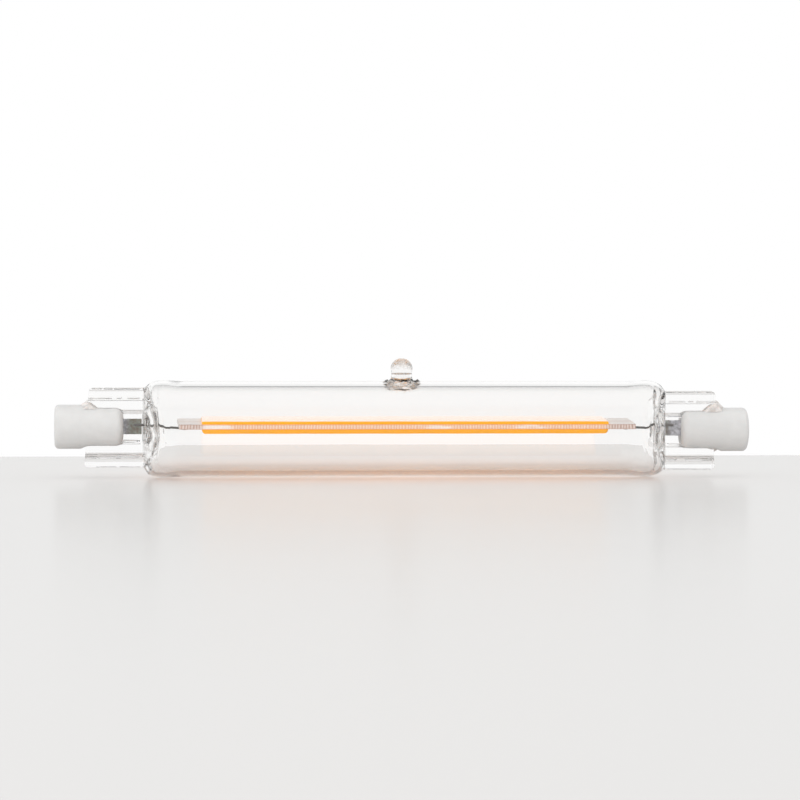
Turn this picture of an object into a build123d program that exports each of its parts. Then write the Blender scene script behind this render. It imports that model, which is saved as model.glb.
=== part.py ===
"""Double-ended linear lamp with a flat light strip in a pinch-sealed glass tube.

The lamp lies along X with its exhaust tip up (+Z). The origin is under the middle of the lamp, at the level
of the lowest point of the tube. Lengths are in millimetres and angles in degrees. Each end is built pointing
along +X about the tube's axis, and the left one is mirrored into place. An inset is a distance back from the
lamp's own end, so a longer lamp carries its ends with it.
"""
from build123d import *
import math
import os

# Whole lamp
lamp_length = 118.6
recess_depth = 2.2

# Glass tube
tube_diameter = 16.3
tube_wall = 1.0
end_swell = 0.15
inner_swell = 0.3
swell_setback = 3.4
straight_setback = 6.4
barrel_steps = 3

# Pressed shoulders, where the tube is closed down to the flat seals
shoulder_inset = {"left": 15.0, "right": 14.4}
press_length = 4.0
press_clearance = 0.12
press_root = 0.5
press_steps = 4

# Folded wall inside a shoulder: distance back from it, and depth as a share of the bore's radius
fold_line = ((0.7, 0.0), (1.1, 0.18), (1.3, 0.42), (1.9, 0.66), (3.0, 0.86), (5.1, 1.06))
crease_cover = 0.5

# Flat seals: web, central land over the foil, and thick rims
seal_inset = {"left": 5.4, "right": 5.7}
seal_rise = {"left": 0.3, "right": -0.3}
seal_slant = {"left": 0.35, "right": -0.1}
seal_width = 13.5
seal_web = 2.6
seal_land = 3.2
seal_rim = 4.2
land_half_width = 2.35
land_slope = 0.55
rim_width = 1.45
rim_slope = 0.75
rim_round = 0.8
seal_corner = 0.8
seal_root = 0.3

# Exhaust tip
tip_height = 3.9
tip_diameter = 3.7
tip_bore = 2.6
tip_bore_height = 1.55
melt_ring_diameter = 6.5
melt_ring_sag = 0.55
melt_ring_drop = 0.7
tip_neck_round = 0.5
tip_offset = -0.3

# Light strip, set back from the shoulders
strip_setback = {"left": 6.1, "right": 5.6}
strip_width = 9.3
strip_thickness = 0.8
strip_rise = 0.86
strip_tilt = 4.2
bare_end = {"left": 3.75, "right": 4.0}
phosphor_width = 8.7
phosphor_upper_thickness = 0.4
phosphor_lower_thickness = 0.85
phosphor_upper_round = 0.15
phosphor_lower_round = 0.4

# Chips under the strip
chip_length = 0.75
chip_width = 0.45
chip_thickness = 0.15
chip_pitch = 3.2
chip_rows = 2
chip_row_spacing = 3.8

# Terminal pads and solder joints
pad_width = 2.4
pad_thickness = 0.05
pad_cover = 0.9
solder_diameter = 1.7
solder_depth = 0.62
solder_setback = 0.1
solder_film = 0.04

# Leads and foils
inner_lead_diameter = 0.4
inner_lead_grip = 1.5
inner_lead_clear = 0.5
lead_entry_setback = {"left": 2.1, "right": 3.4}
lead_entry_rise = {"left": 0.95, "right": 0.13}
lead_weld_rise = {"left": 0.8, "right": 0.62}
outer_lead_diameter = 0.5
foil_width = 2.65
foil_thickness = 0.05
foil_length = 6.8
foil_setback = 0.3
foil_depth = 0.2
foil_rise = {"left": 0.45, "right": 0.1}
weld_length = 1.4
weld_bite = 0.04

# Ceramic caps
cap_length = 11.6
cap_diameter = 7.5
cap_fork_diameter = 7.3
cap_edge_round = 0.7
cap_fork_round = 1.3
round_steps = 2
cap_web = 1.2
cap_slot = 3.6
cap_taper = 1.4
cap_rise = {"left": 0.4, "right": -0.18}
recess_diameter = 4.8
contact_diameter = 4.0
contact_rim = 0.5
contact_height = 0.9
dome_steps = 2
lead_hole_clearance = 0.15

# Cement between the caps and the seals; lumps squeezed out of the slots have crest points from the seal's end
cement_reach = 1.6
cement_height = 6.4
cement_half_depth = 2.1
cement_draft = 20.0
lump_foot = 2.6
left_lump = ((-2.9, 3.1), (-0.8, 4.6), (-0.3, 4.7), (1.4, 3.5))
right_lump = ((-2.7, 3.2), (-1.5, 4.2), (-0.4, 5.15), (0.6, 5.0), (2.0, 3.6))
right_sag = ((-1.9, -3.3), (-0.8, -3.9), (0.2, -3.9), (0.9, -3.5))

# Worked-out places
sides = ("left", "right")
tube_radius = tube_diameter / 2
bore_radius = tube_radius - tube_wall
axis_height = tube_radius + end_swell
cap_end = lamp_length / 2
cap_mouth = cap_end - cap_length
recess_floor = cap_end - recess_depth
seat_floor = recess_floor - contact_height
slot_bottom = seat_floor - cap_web
shoulder = {side: cap_end - shoulder_inset[side] for side in sides}
seal_end = {side: cap_end - seal_inset[side] for side in sides}
strip_end = {side: shoulder[side] - strip_setback[side] for side in sides}
phosphor_end = {side: strip_end[side] - bare_end[side] for side in sides}
inner_lead_radius = inner_lead_diameter / 2
outer_lead_radius = outer_lead_diameter / 2
pad_face = strip_thickness / 2 + pad_thickness
beyond = 1.0

parts = {}


def placed(shape, side):
    """Turn an end built along +X to its own side."""
    return mirror(shape, about=Plane.YZ) if side == "left" else shape


def on_strip(shape):
    """Move a shape from the strip's own flat frame to its tilted place in the tube."""
    return Location((0, 0, strip_rise)) * Rotation(strip_tilt, 0, 0) * shape


def quarter(start, end, steps):
    """Points along a quarter ellipse that leaves start along the first axis; start itself is left out."""
    turns = [math.pi / 2 * step / steps for step in range(1, steps + 1)]
    run = end[0] - start[0]
    rise = start[1] - end[1]
    return [(start[0] + run * math.sin(turn), end[1] + rise * math.cos(turn)) for turn in turns]


def spun(points, axis):
    """Solid of revolution of a closed outline drawn in the XZ plane."""
    return revolve(Plane.XZ * make_face(Polyline(*points, close=True)), axis)


def barrel_half(side, radius, swell, end_radius, end_x):
    """Half of a tube about X: straight, slightly swollen, then rounded over to its end radius."""
    swollen = (shoulder[side] - swell_setback, radius + swell)
    straight_x = shoulder[side] - straight_setback
    over = quarter(swollen, (end_x, end_radius), barrel_steps)
    return spun([(0, 0), (0, radius), (straight_x, radius), swollen, *over, (end_x, 0)], Axis.X)


def both_ways(points):
    """Prism over an outline in plan and its mirror image across X, deeper than the tube."""
    half = make_face(Polyline(*points, close=True))
    return extrude(half + mirror(half, about=Plane.XZ), tube_diameter, both=True)


def pressed_outside(side):
    """The space the jaws leave at one end: full depth in the tube, down to the seal's web."""
    end_x = shoulder[side]
    half_web = seal_web / 2
    full_depth = tube_radius + end_swell + press_clearance
    start = (end_x - press_length, full_depth)
    over = quarter(start, (end_x, half_web + press_root), press_steps)
    foot = end_x + press_root
    return both_ways([(0, 0), (0, full_depth), start, *over, (foot, half_web), (foot, 0)])


def pressed_inside(side):
    """The space inside the pressed end: two folded walls that meet in a crease over the seal."""
    fold = [(shoulder[side] - setback, share * bore_radius) for setback, share in fold_line]
    return both_ways([*fold, (0, fold[-1][1]), (0, 0)])


def seal_plate(side):
    """Pressed seal: an I-shaped section with a central land, trimmed to its rounded outline."""
    half_width = seal_width / 2
    rim_start = half_width - rim_width
    steps = (
        (land_half_width, seal_land / 2),
        (land_half_width + land_slope, seal_web / 2),
        (rim_start - rim_slope, seal_web / 2),
        (rim_start, seal_rim / 2),
        (half_width, seal_rim / 2),
    )
    front = [(-depth, height) for height, depth in steps]
    back = [(depth, height) for height, depth in reversed(steps)]
    upper = front + back
    lower = [(depth, -height) for depth, height in reversed(upper)]
    section = make_face(Polyline(*upper, *lower, close=True))
    rim_corners = [v for v in section.vertices() if abs(abs(v.Y) - half_width) < 0.001]
    section = fillet(rim_corners, rim_round)
    start_x = shoulder[side] - seal_root
    length = seal_end[side] + beyond - start_x
    bar = extrude(Plane.YZ.offset(start_x) * section, length)

    top_x = seal_end[side] - seal_slant[side]
    bottom_x = seal_end[side] + seal_slant[side]
    corner_z = half_width - seal_corner
    clear_z = half_width + beyond
    cut_back = seal_corner + beyond
    outline = make_face(Polyline(
        (start_x, clear_z), (top_x - cut_back, clear_z), (top_x, corner_z),
        (bottom_x, -corner_z), (bottom_x - cut_back, -clear_z), (start_x, -clear_z), close=True,
    ))
    outline = fillet(outline.vertices().sort_by(Axis.X)[-2:], seal_corner)
    trim = extrude(Plane.XZ * outline, seal_rim, both=True)
    return Pos(0, 0, seal_rise[side]) * (bar & trim)


def exhaust_tip():
    """Sealed stub of the pumping tube, with the ring of glass that melted into the wall around it."""
    radius = tip_diameter / 2
    ring = melt_ring_diameter / 2
    dome_base = tube_radius + tip_height - radius
    neck = tube_radius + tip_neck_round
    inner_face = bore_radius - melt_ring_sag
    ring_face = tube_radius - melt_ring_drop
    stem = spun([
        (0, inner_face), (0, dome_base), (radius, dome_base), (radius, neck + tip_neck_round),
        (radius + tip_neck_round / 3, neck), (ring, ring_face),
        (ring - tip_neck_round, bore_radius), (tip_bore / 2 + tip_neck_round, inner_face),
    ], Axis.Z)
    return stem + Pos(0, 0, dome_base) * Sphere(radius)


def tip_hollow():
    """What is left of the pumping tube's bore, closed by a rounded end."""
    radius = tip_bore / 2
    low = bore_radius - melt_ring_sag - beyond
    high = tube_radius + tip_bore_height
    over = quarter((0, high), (radius, high - radius), round_steps)
    return spun([(0, low), (0, high), *over, (radius, low)], Axis.Z)


def foil(side):
    """Thin metal ribbon in the seal."""
    start_x = shoulder[side] + foil_setback
    middle = (start_x + foil_length / 2, foil_depth, foil_rise[side])
    return Pos(*middle) * Box(foil_length, foil_thickness, foil_width)


def lead_depth(radius):
    """Where a wire's axis lies in Y, so that its flat bites the foil's front face."""
    return foil_depth - foil_thickness / 2 - radius + weld_bite


def inner_lead(side):
    """Wire from the pad under the strip, through the crease, to its weld on the foil."""
    pad_z = strip_rise - (pad_face + solder_film + inner_lead_radius) / math.cos(math.radians(strip_tilt))
    foil_x = shoulder[side] + foil_setback
    depth = lead_depth(inner_lead_radius)
    path = Polyline(
        (strip_end[side] - inner_lead_grip, depth, pad_z),
        (strip_end[side] + inner_lead_clear, depth, pad_z),
        (shoulder[side] - lead_entry_setback[side], depth, lead_entry_rise[side]),
        (foil_x, depth, lead_weld_rise[side]),
        (foil_x + weld_length, depth, lead_weld_rise[side]),
    )
    start = Plane(origin=path @ 0, z_dir=path % 0)
    return sweep(start * Circle(inner_lead_radius), path=path, transition=Transition.RIGHT)


def outer_lead(side):
    """Straight pin from its weld on the foil, through the cap's web, to the contact."""
    start_x = shoulder[side] + foil_setback + foil_length - weld_length
    length = seat_floor - start_x
    place = Pos(start_x, lead_depth(outer_lead_radius), cap_rise[side]) * Rotation(0, 90, 0)
    return place * Cylinder(outer_lead_radius, length, align=(Align.CENTER, Align.CENTER, Align.MIN))


def strip_slab(ends, width, thickness, low):
    """Flat slab along the strip between its two ends, with its lowest face at a given height."""
    length = ends["left"] + ends["right"]
    slab = Box(length, width, thickness, align=(Align.CENTER, Align.CENTER, Align.MIN))
    return Pos((ends["right"] - ends["left"]) / 2, 0, low) * slab


def chips():
    """Rows of light-emitting chips on the underside of the strip."""
    length = phosphor_end["left"] + phosphor_end["right"] - 2 * pad_cover - chip_pitch
    count = math.floor(length / chip_pitch) + 1
    start = (phosphor_end["right"] - phosphor_end["left"]) / 2 - (count - 1) * chip_pitch / 2
    depth = -strip_thickness / 2 - chip_thickness
    chip = Box(chip_length, chip_width, chip_thickness, align=(Align.CENTER, Align.CENTER, Align.MIN))
    spots = []
    for row in range(chip_rows):
        across = (row - (chip_rows - 1) / 2) * chip_row_spacing
        spots += [Pos(start + step * chip_pitch, across, depth) * chip for step in range(count)]
    return spots


def terminal_pad(side):
    """Plated pad under the end of the strip, running in under the phosphor."""
    length = bare_end[side] + pad_cover
    middle = strip_end[side] - length / 2
    pad = Box(length, pad_width, pad_thickness, align=(Align.CENTER, Align.CENTER, Align.MIN))
    return Pos(middle, 0, -pad_face) * pad


def solder_joint(side):
    """Drop of solder around the end of the inner lead, flat against the pad."""
    radius = solder_diameter / 2
    over = quarter((0, -solder_depth), (radius, 0), dome_steps)
    drop = spun([(0, 0), (0, -solder_depth), *over], Axis.Z)
    return Pos(strip_end[side] - radius - solder_setback, 0, -pad_face) * drop


def cap_slot_space():
    """Slot that straddles the seal, with a rounded bottom."""
    radius = cap_slot / 2
    centre = slot_bottom - radius
    mouth = cap_mouth - beyond
    sides_of_slot = Pos((mouth + centre) / 2, 0) * Rectangle(centre - mouth, cap_slot)
    outline = sides_of_slot + Pos(centre, 0) * Circle(radius)
    return extrude(outline, cap_diameter, both=True)


def cap(side):
    """Ceramic cap: round body with a contact recess, and a fork that straddles the seal."""
    radius = cap_diameter / 2
    fork_radius = cap_fork_diameter / 2
    shelf = (cap_end - cap_edge_round, radius)
    fork_shelf = (cap_mouth + cap_fork_round, fork_radius)
    edge = quarter(shelf, (cap_end, radius - cap_edge_round), round_steps)
    fork_edge = quarter(fork_shelf, (cap_mouth, fork_radius - cap_fork_round), round_steps)
    body = spun([
        (slot_bottom, radius), shelf, *edge, (cap_end, 0), (cap_mouth, 0), *reversed(fork_edge),
        fork_shelf, (slot_bottom - cap_taper, fork_radius),
    ], Axis.X)
    along = Rotation(0, 90, 0)
    low = (Align.CENTER, Align.CENTER, Align.MIN)
    recess = Pos(recess_floor, 0, 0) * along * Cylinder(recess_diameter / 2, cap_length, align=low)
    seat = Pos(seat_floor, 0, 0) * along * Cylinder(contact_diameter / 2, cap_length, align=low)
    hole_radius = outer_lead_radius + lead_hole_clearance
    hole = Pos(slot_bottom - beyond, 0, 0) * along * Cylinder(hole_radius, cap_length, align=low)
    return Pos(0, 0, cap_rise[side]) * (body - recess - seat - hole - cap_slot_space())


def contact(side):
    """Domed metal contact in its seat, flush with the floor of the recess."""
    radius = contact_diameter / 2
    rim = (seat_floor + contact_rim, radius)
    dome = quarter(rim, (seat_floor + contact_height, 0), dome_steps)
    button = spun([(seat_floor, 0), (seat_floor, radius), rim, *dome], Axis.X)
    return Pos(0, 0, cap_rise[side]) * button


def lump(points, side):
    """Cement squeezed out of the slot: a crest that thins toward its faces, over a foot hidden in the cap."""
    crest = [(seal_end[side] + x, z) for x, z in points]
    foot_z = math.copysign(abs(points[0][1]) - lump_foot, points[0][1])
    face = make_face(Polyline(*crest, (crest[-1][0], foot_z), (crest[0][0], foot_z), close=True))
    half = extrude(Plane.XZ * face, cement_half_depth, taper=cement_draft)
    return Pos(0, 0, cap_rise[side]) * (half + mirror(half, about=Plane.XZ))


def cement(side, neighbours):
    """Cement in the bottom of the slot and over its mouth, shaped by what it sets against."""
    fill_start = seal_end[side] - cement_reach
    middle = (fill_start + slot_bottom) / 2
    fill = Box(slot_bottom - fill_start, cap_slot, cement_height)
    body = Pos(0, 0, cap_rise[side]) * (cap_slot_space() & Pos(middle, 0, 0) * fill)
    lumps = (left_lump,) if side == "left" else (right_lump, right_sag)
    for points in lumps:
        body += lump(points, side)
    for neighbour in neighbours:
        body -= neighbour
    return max(body.solids(), key=lambda solid: solid.volume)


def glass_envelope(ends):
    """Tube, pressed ends, seals and tip in one piece, hollow inside and holding its foils and leads."""
    outside = []
    inside = []
    for side in sides:
        half_seal = (seal_width - abs(seal_rise[side])) / 2
        crease_x = shoulder[side] - fold_line[0][0] + crease_cover
        collar = Pos(shoulder[side], 0, 0) * Rotation(0, 90, 0) * Cylinder(
            half_seal, press_root, align=(Align.CENTER, Align.CENTER, Align.MIN))
        outer = barrel_half(side, tube_radius, end_swell, half_seal, shoulder[side]) + collar
        inner = barrel_half(side, bore_radius, inner_swell, half_seal - tube_wall / 2, crease_x)
        outside.append(placed((outer & pressed_outside(side)) + seal_plate(side), side))
        inside.append(placed(inner & pressed_inside(side), side))
    envelope = outside[0] + outside[1] - (inside[0] + inside[1])
    envelope = envelope + Pos(tip_offset, 0, 0) * exhaust_tip() - Pos(tip_offset, 0, 0) * tip_hollow()
    for side in sides:
        for piece in ("seal_foil", "inner_lead", "outer_lead"):
            envelope -= placed(ends[side][piece], side)
    return envelope


def build():
    """Make every piece about the tube's axis, keyed by its node name."""
    ends = {side: {} for side in sides}
    for side in sides:
        end = ends[side]
        end["seal_foil"] = foil(side)
        end["inner_lead"] = inner_lead(side) - end["seal_foil"]
        end["outer_lead"] = outer_lead(side) - end["seal_foil"]
        end["cap"] = cap(side)
        end["contact"] = contact(side)
    envelope = glass_envelope(ends)
    parts["glass_envelope"] = envelope

    for side in sides:
        end = ends[side]
        end["cement"] = cement(side, (placed(envelope, side), end["cap"], end["outer_lead"]))
        joint = on_strip(solder_joint(side)) - end["inner_lead"]
        end["solder"] = max(joint.solids(), key=lambda solid: solid.volume)
        end["terminal_pad"] = on_strip(terminal_pad(side))
        for name, shape in end.items():
            parts[f"{name}_{side}"] = placed(shape, side)

    half = strip_thickness / 2
    lowest = -half - phosphor_lower_thickness
    lower = strip_slab(phosphor_end, phosphor_width, phosphor_lower_thickness, lowest)
    lower = fillet(lower.faces().sort_by(Axis.Z)[0].edges(), phosphor_lower_round)
    for side in sides:
        lower -= placed(terminal_pad(side), side)
    chip_solids = chips()
    lower -= Part() + chip_solids
    upper = strip_slab(phosphor_end, phosphor_width, phosphor_upper_thickness, half)
    upper = fillet(upper.faces().sort_by(Axis.Z)[-1].edges(), phosphor_upper_round)
    parts["strip_substrate"] = on_strip(strip_slab(strip_end, strip_width, strip_thickness, -half))
    parts["phosphor_upper"] = on_strip(upper)
    parts["phosphor_lower"] = on_strip(lower)
    parts["led_chips"] = on_strip(Compound(children=chip_solids))


build()
os.makedirs("parts", exist_ok=True)
for node, shape in parts.items():
    export_step(Pos(0, 0, axis_height) * shape, f"parts/{node}.step")
    print(f"{node}: {len(shape.solids())} solid(s), {shape.volume:.3f} mm3")
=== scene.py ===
"""Looks of a double-ended linear lamp: clear pressed glass tube, flat light strip, ceramic end caps.

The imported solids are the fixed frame. Lengths here are in metres, and X runs along the lamp.
"""
import math

import bmesh
import bpy
import numpy as np
from bpy.props import FloatProperty, FloatVectorProperty, IntProperty, PointerProperty
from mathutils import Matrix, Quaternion, Vector


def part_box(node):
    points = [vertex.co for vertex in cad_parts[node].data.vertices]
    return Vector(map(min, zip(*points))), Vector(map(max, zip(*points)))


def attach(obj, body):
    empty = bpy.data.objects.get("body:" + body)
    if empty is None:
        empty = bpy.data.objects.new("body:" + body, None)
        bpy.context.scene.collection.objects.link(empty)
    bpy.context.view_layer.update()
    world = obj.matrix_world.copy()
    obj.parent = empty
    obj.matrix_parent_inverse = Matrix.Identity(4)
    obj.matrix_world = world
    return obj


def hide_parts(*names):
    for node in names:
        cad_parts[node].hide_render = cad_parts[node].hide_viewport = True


bl_info = {
    "name": "Linear strip lamp",
    "version": (1, 0, 0),
    "blender": (4, 5, 0),
    "location": "View3D > Sidebar > Lamp",
    "description": "Builds the glass, strip, seals, caps and stage of a double-ended linear lamp",
    "category": "Object",
}

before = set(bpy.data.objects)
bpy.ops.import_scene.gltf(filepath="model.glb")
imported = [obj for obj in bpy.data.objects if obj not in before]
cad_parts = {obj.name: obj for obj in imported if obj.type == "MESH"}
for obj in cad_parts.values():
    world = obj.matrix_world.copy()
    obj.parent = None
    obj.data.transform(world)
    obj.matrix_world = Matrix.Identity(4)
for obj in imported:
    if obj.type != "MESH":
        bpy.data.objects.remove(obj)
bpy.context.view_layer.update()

MM = 0.001
SIDES = {"left": -1.0, "right": 1.0}
INDEX = {"left": 0, "right": 1}


def length(name, description, default):
    """A size in metres that a user can change."""
    return FloatProperty(name=name, description=description, default=default, unit="LENGTH", precision=5)


def per_end(name, description, left, right):
    """A pair of sizes, one for each end of the lamp."""
    return FloatVectorProperty(
        name=name, description=description, default=(left, right), size=2, unit="LENGTH", precision=5)


def colour(name, description, default):
    """A colour that a user can change."""
    return FloatVectorProperty(
        name=name, description=description, default=default, size=3, subtype="COLOR", min=0.0, max=1.0)


class EnvelopeSizes(bpy.types.PropertyGroup):
    """Sizes of the glass tube, its pressed seals and its exhaust tip."""
    axis_height: length("Axis height", "Height of the tube's axis over the floor", 0.0083)
    radius: length("Tube radius", "Outer radius of the straight tube", 0.00815)
    wall: length("Wall", "Thickness of the tube's wall", 0.001)
    shoulder: per_end("Shoulders", "Distance of each pressed shoulder from the middle", 0.0443, 0.0449)
    seal_end: per_end("Seal ends", "Distance of the end of each seal from the middle", 0.0539, 0.0536)
    seal_rise: per_end("Seal rise", "How far each seal lies above the axis", 0.0003, -0.0003)
    seal_slant: per_end("Seal slant", "How far the top corner of each seal lies back", 0.00035, -0.0001)
    half_seal: length("Half seal", "Half the width of a seal", 0.00675)
    tip_radius: length("Tip radius", "Radius of the exhaust tip", 0.00185)
    tip_height: length("Tip height", "Height of the exhaust tip over the tube", 0.0039)
    tip_offset: length("Tip offset", "Place of the exhaust tip along the lamp", -0.0003)
    around: IntProperty(name="Around", description="Points around the tube", default=192, min=48, max=384)


class StripSizes(bpy.types.PropertyGroup):
    """Sizes of the light strip and the coating on it."""
    rise: length("Strip rise", "Height of the strip over the tube's axis", 0.00086)
    tilt: FloatProperty(
        name="Tilt", description="Turn of the strip about the lamp's axis", default=math.radians(4.2),
        subtype="ANGLE")
    thickness: length("Strip thickness", "Thickness of the bare strip", 0.0008)
    end: per_end("Strip ends", "Distance of each end of the bare strip from the middle", 0.0382, 0.0393)
    coat_end: per_end("Coating ends", "Distance of each end of the coating from the middle", 0.03445, 0.0348)
    coat_width: length("Coating width", "Width of the coating", 0.0087)
    upper: length("Upper coating", "Thickness of the coating on top", 0.00046)
    lower: length("Lower coating", "Thickness of the coating underneath", 0.00085)


class CapSizes(bpy.types.PropertyGroup):
    """Sizes of the ceramic caps and the contacts in them."""
    end: length("Cap end", "Distance of each cap's end face from the middle", 0.0593)
    length: length("Cap length", "Length of a cap with its fork", 0.0116)
    radius: length("Cap radius", "Radius of a cap's round body", 0.00375)
    fork_radius: length("Fork radius", "Radius of the fork", 0.00365)
    slot: length("Slot", "Width of the slot in the fork", 0.0036)
    rise: per_end("Cap rise", "How far each cap lies above the tube's axis", 0.0004, -0.00018)
    recess_radius: length("Recess radius", "Radius of the recess around the contact", 0.0024)
    contact_radius: length("Contact radius", "Radius of the contact", 0.002)


class LampColours(bpy.types.PropertyGroup):
    """Colours of the lamp's own materials."""
    glass: colour("Glass", "Tint of the clear glass", (1.0, 0.998, 0.994))
    coating: colour("Coating", "Colour of the phosphor coating", (0.99, 0.43, 0.010))
    strip: colour("Strip", "Colour of the bare strip", (0.80, 0.74, 0.70))
    ceramic: colour("Ceramic", "Colour of the caps", (0.69, 0.685, 0.675))
    cement: colour("Cement", "Colour of the cement", (0.72, 0.68, 0.65))
    foil: colour("Foil", "Colour of the sealed foils", (0.62, 0.62, 0.66))
    wire: colour("Wire", "Colour of the inner leads", (0.30, 0.29, 0.28))
    contact: colour("Contact", "Colour of the contacts", (0.56, 0.55, 0.53))
    floor: colour("Floor", "Colour of the table top", (0.67, 0.66, 0.65))


class LampSettings(bpy.types.PropertyGroup):
    """Everything a user would change on the lamp."""
    envelope: PointerProperty(type=EnvelopeSizes)
    strip: PointerProperty(type=StripSizes)
    cap: PointerProperty(type=CapSizes)
    colours: PointerProperty(type=LampColours)


def settings():
    """The lamp's settings in this scene."""
    return bpy.context.scene.strip_lamp


# Shader expressions

class Value:
    """An output socket of a node tree that takes part in sums and products."""

    def __init__(self, graph, socket):
        self.graph = graph
        self.socket = socket

    def out(self, name):
        """Another output of the same node."""
        return Value(self.graph, self.socket.node.outputs[name])

    def math(self, operation, first, second):
        """A Math node on two values."""
        return self.graph.node("ShaderNodeMath", {"operation": operation}, {0: first, 1: second})

    def __add__(self, other):
        return self.math("ADD", self, other)

    def __radd__(self, other):
        return self.math("ADD", other, self)

    def __sub__(self, other):
        return self.math("SUBTRACT", self, other)

    def __rsub__(self, other):
        return self.math("SUBTRACT", other, self)

    def __mul__(self, other):
        return self.math("MULTIPLY", self, other)

    def __rmul__(self, other):
        return self.math("MULTIPLY", other, self)

    def __abs__(self):
        return self.math("ABSOLUTE", self, 0.0)

    def __pow__(self, other):
        return self.math("POWER", self, other)

    def above(self, low, high):
        """0 below low, 1 above high, and smooth between them."""
        return self.graph.node(
            "ShaderNodeMapRange", {"interpolation_type": "SMOOTHSTEP"}, {"Value": self, 1: low, 2: high})


class Graph:
    """A node tree that is filled by expressions."""

    def __init__(self, tree):
        self.tree = tree

    def node(self, kind, options=None, inputs=None, output=0):
        """Add a node, set its options, feed its inputs, and give one of its outputs."""
        node = self.tree.nodes.new(kind)
        for name, value in (options or {}).items():
            if name == "stops":
                self.stops(node.color_ramp, value)
            else:
                setattr(node, name, value)
        for key, value in (inputs or {}).items():
            self.feed(node.inputs[key], value)
        return Value(self, node.outputs[output])

    def stops(self, ramp, stops):
        """Give a colour ramp its stops."""
        while len(ramp.elements) < len(stops):
            ramp.elements.new(1.0)
        for element, (place, shade) in zip(ramp.elements, stops):
            element.position = place
            element.color = (*shade, 1.0)

    def feed(self, socket, value):
        """Link a value to a socket, or set the socket's own number or colour."""
        if isinstance(value, Value):
            self.tree.links.new(value.socket, socket)
        elif socket.type == "RGBA" and len(value) == 3:
            socket.default_value = (*value, 1.0)
        else:
            socket.default_value = value

    def place(self):
        """Position on the lamp in metres."""
        return self.node("ShaderNodeTexCoord", output="Object")

    def axes(self):
        """X, Y and Z of the position."""
        split = self.node("ShaderNodeSeparateXYZ", inputs={0: self.place()})
        return split.out("X"), split.out("Y"), split.out("Z")

    def stretched(self, x, y, z):
        """Position scaled on each axis."""
        return self.node(
            "ShaderNodeVectorMath", {"operation": "MULTIPLY"}, {0: self.place(), 1: (x, y, z)})

    def noise(self, scale, detail=3.0, roughness=0.5, stretch=(1.0, 1.0, 1.0)):
        """Smooth noise with features of about 1 / scale metres."""
        return self.node(
            "ShaderNodeTexNoise", {"noise_dimensions": "3D"},
            {"Vector": self.stretched(*stretch), "Scale": scale, "Detail": detail, "Roughness": roughness})

    def mix(self, share, first, second):
        """Mix of two colours."""
        return self.node(
            "ShaderNodeMix", {"data_type": "RGBA"}, {0: share, 6: first, 7: second}, output=2)

    def vary(self, share, shade, low, high):
        """One colour between two of its own strengths."""
        return self.mix(share, scaled(shade, low), scaled(shade, high))

    def ramp(self, share, *stops):
        """A colour from a share by stops."""
        return self.node("ShaderNodeValToRGB", {"stops": stops}, {0: share})

    def bump(self, height, distance, strength=1.0):
        """Surface relief of a given depth in metres."""
        return self.node(
            "ShaderNodeBump", inputs={"Height": height, "Distance": distance, "Strength": strength})


def finish(name, inputs):
    """A material with one Principled shader; inputs is a function of its graph that gives the sockets."""
    material = bpy.data.materials.new(name)
    material.use_nodes = True
    graph = Graph(material.node_tree)
    shader = material.node_tree.nodes["Principled BSDF"]
    for key, value in inputs(graph).items():
        graph.feed(shader.inputs[key], value)
    return material


def shade_of(name):
    """One of the lamp's own colours."""
    return tuple(getattr(settings().colours, name))


def scaled(shade, factor):
    """A colour made lighter or darker by one factor."""
    return tuple(min(1.0, part * factor) for part in shade)


def clear_glass():
    """Drawn and pressed clear glass: draw lines, jaw marks on the seals, and a stippled, tinted tip, with brown
    melt tint mixed with painted glints at its root and a painted orange glint on its top.
    """
    def inputs(g):
        sizes = settings().envelope
        x, y, z = g.axes()
        lines = g.noise(900.0, 2.0, stretch=(0.05, 1.0, 1.0))
        waves = g.noise(260.0, 1.0)
        along = x - sizes.tip_offset
        away = (along * along + y * y) ** 0.5
        at_root = z.above(0.0135, 0.015) * (1.0 - z.above(0.0162, 0.0172))
        near_tip = (1.0 - away.above(0.0028, 0.0038)) * at_root
        # Brown melt tint in patches at the tip's root: partly the melted glass's own colour, partly painted
        # glints that stand for the phosphor's reflection
        melt_tint_and_glints = near_tip * g.noise(1500.0, 4.0).above(0.42, 0.6)
        # Painted orange glint on the top of the tip
        painted_tip_glint = z.above(0.0188, 0.0204)
        blown = z.above(0.0172, 0.0178)
        stipple = g.noise(4200.0, 2.0).above(0.45, 0.62) * z.above(0.0184, 0.0190)
        tint = g.mix(melt_tint_and_glints * 0.6, shade_of("glass"), (0.76, 0.52, 0.34))
        tint = g.mix(blown * 0.12, tint, (0.86, 0.82, 0.79))
        marks = seal_marks(g, x, z)
        return {
            "Base Color": g.mix(painted_tip_glint * 0.3, tint, (0.95, 0.74, 0.55)),
            "Roughness": 0.0,
            "IOR": 1.48,
            "Transmission Weight": 1.0,
            "Normal": g.bump(marks + stipple * 0.2 + (lines + waves * 0.6) * 0.005, 0.00035),
        }
    return finish("drawn clear glass", inputs)


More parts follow.
